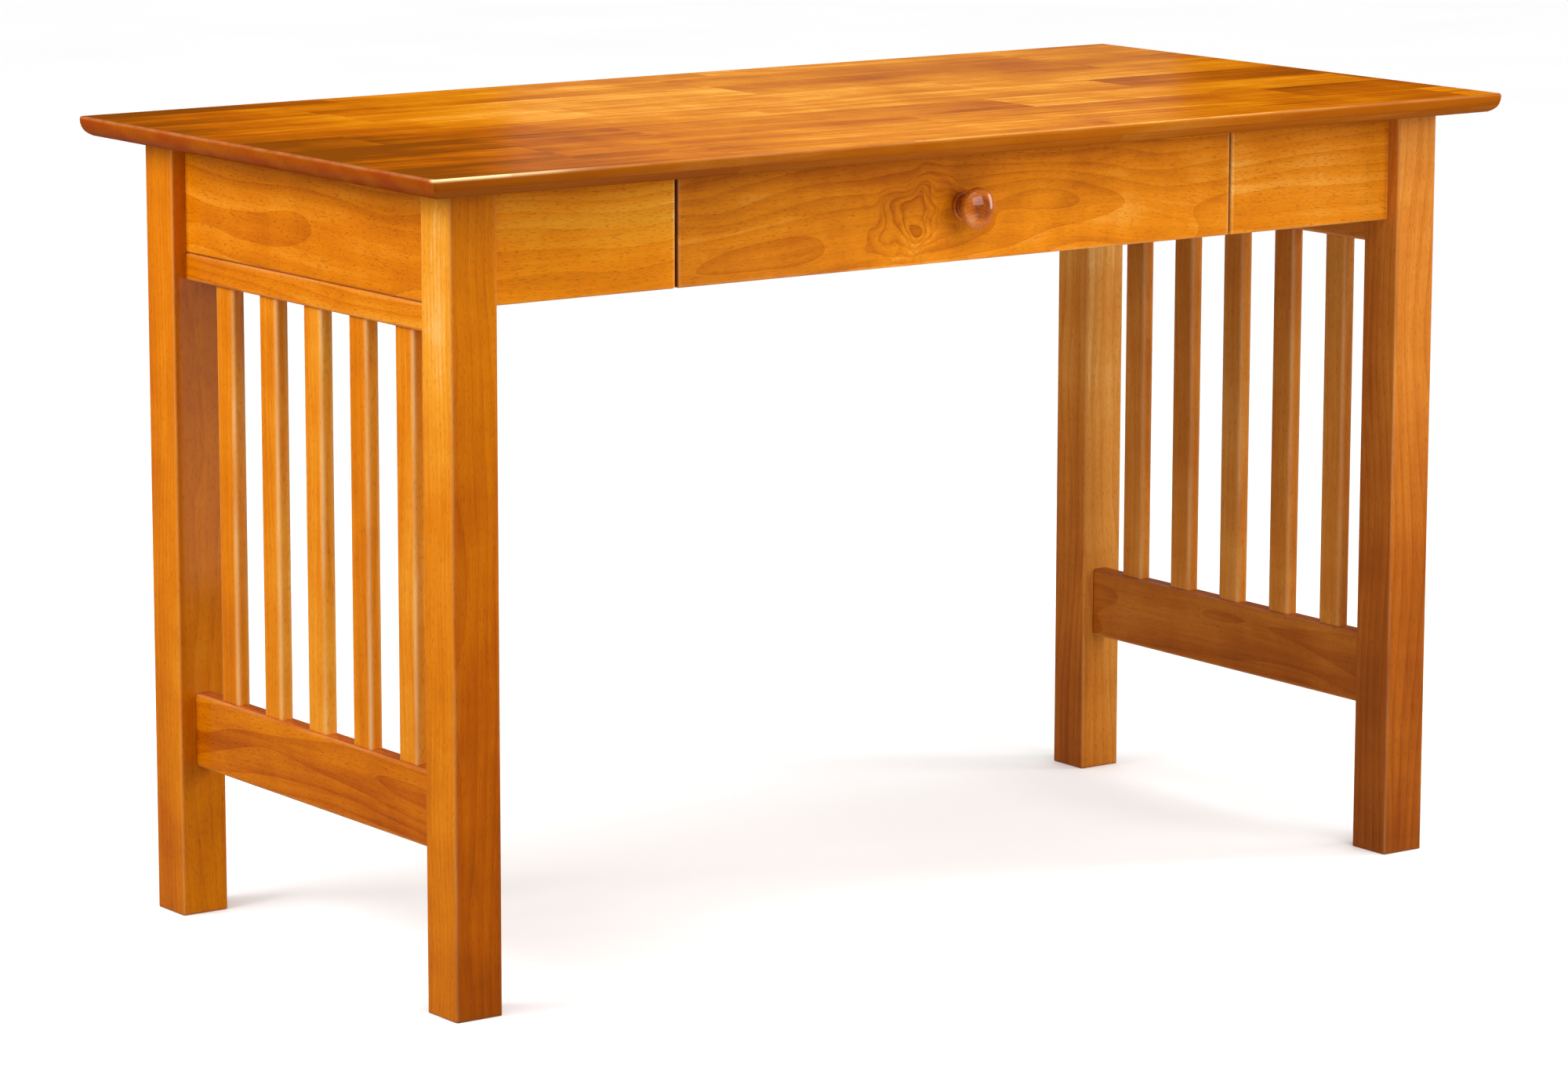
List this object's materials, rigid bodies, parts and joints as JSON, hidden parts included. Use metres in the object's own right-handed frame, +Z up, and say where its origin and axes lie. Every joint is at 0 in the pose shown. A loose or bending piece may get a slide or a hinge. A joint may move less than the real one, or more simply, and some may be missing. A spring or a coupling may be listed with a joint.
{
  "type": "mission desk",
  "caption": "Wooden writing desk with a flat overhanging top, square legs, slatted end frames and one flush drawer with a turned knob.",
  "frame": {"origin": "on the floor under the middle of the desk", "axes": "+X along the desk to the right as seen from the front, the front faces -Y, +Z up"},
  "size_m": [1.219, 0.61, 0.749],
  "materials": {
    "top_wood": "semi-gloss lacquer",
    "frame_wood": "semi-gloss lacquer",
    "front_wood": "semi-gloss lacquer",
    "slat_wood": "semi-gloss lacquer",
    "plain_wood": "satin",
    "knob_wood": "gloss lacquer",
    "enamelled_steel": "satin",
    "zinc_steel": "zinc plated",
    "nylon": "satin"
  },
  "bodies": {
    "desk_frame": {"desk_top": "top_wood", "leg_front_left": "frame_wood", "leg_front_right": "frame_wood", "leg_back_left": "frame_wood", "leg_back_right": "frame_wood", "side_apron_left": "frame_wood", "side_apron_right": "frame_wood", "back_apron": "frame_wood", "front_panel_left": "front_wood", "front_panel_right": "front_wood", "upper_rail_left": "frame_wood", "upper_rail_right": "frame_wood", "lower_rail_left": "frame_wood", "lower_rail_right": "frame_wood", "slat_left_1": "slat_wood", "slat_left_2": "slat_wood", "slat_left_3": "slat_wood", "slat_left_4": "slat_wood", "slat_left_5": "slat_wood", "slat_right_1": "slat_wood", "slat_right_2": "slat_wood", "slat_right_3": "slat_wood", "slat_right_4": "slat_wood", "slat_right_5": "slat_wood", "drawer_bearer_left": "plain_wood", "drawer_bearer_right": "plain_wood", "bearer_dowels": "plain_wood", "corner_block_front_left": "plain_wood", "corner_block_front_right": "plain_wood", "corner_block_back_left": "plain_wood", "corner_block_back_right": "plain_wood", "corner_bolts": "zinc_steel", "corner_washers": "zinc_steel", "block_screws": "zinc_steel", "top_clips": "zinc_steel", "clip_screws": "zinc_steel", "channel_left": "enamelled_steel", "channel_right": "enamelled_steel", "channel_screws": "zinc_steel", "front_roller_pins": "zinc_steel"},
    "drawer": {"drawer_face": "front_wood", "drawer_box_front": "plain_wood", "drawer_side_left": "plain_wood", "drawer_side_right": "plain_wood", "drawer_back": "plain_wood", "drawer_bottom": "plain_wood", "face_screws": "zinc_steel", "drawer_knob": "knob_wood", "knob_screw": "zinc_steel", "runner_left": "enamelled_steel", "runner_right": "enamelled_steel", "runner_screws": "zinc_steel", "rear_roller_pins": "zinc_steel"},
    "front_roller_left": {"front_roller_left": "nylon"},
    "front_roller_right": {"front_roller_right": "nylon"},
    "rear_roller_left": {"rear_roller_left": "nylon"},
    "rear_roller_right": {"rear_roller_right": "nylon"}
  },
  "joints": [
    {"name": "drawer_slide", "type": "slide", "parent": "desk_frame", "child": "drawer", "axis": [0, -1, 0], "range_m": [0, 0.3]},
    {"name": "front_roller_left_spin", "type": "hinge", "parent": "desk_frame", "child": "front_roller_left", "pos_m": [-0.314, -0.212, 0.6485], "axis": [1, 0, 0], "range_deg": [0, 2160]},
    {"name": "rear_roller_left_spin", "type": "hinge", "parent": "drawer", "child": "rear_roller_left", "pos_m": [-0.3133, 0.166, 0.647], "axis": [1, 0, 0], "range_deg": [0, 2300]},
    {"name": "front_roller_right_spin", "type": "hinge", "parent": "desk_frame", "child": "front_roller_right", "pos_m": [0.314, -0.212, 0.6485], "axis": [1, 0, 0], "range_deg": [0, 2160]},
    {"name": "rear_roller_right_spin", "type": "hinge", "parent": "drawer", "child": "rear_roller_right", "pos_m": [0.3133, 0.166, 0.647], "axis": [1, 0, 0], "range_deg": [0, 2300]}
  ],
  "couplings": [
    {"joint": "front_roller_left_spin", "follows": "drawer_slide", "rad_per_m": 125},
    {"joint": "rear_roller_left_spin", "follows": "drawer_slide", "rad_per_m": 133.33},
    {"joint": "front_roller_right_spin", "follows": "drawer_slide", "rad_per_m": 125},
    {"joint": "rear_roller_right_spin", "follows": "drawer_slide", "rad_per_m": 133.33}
  ]
}
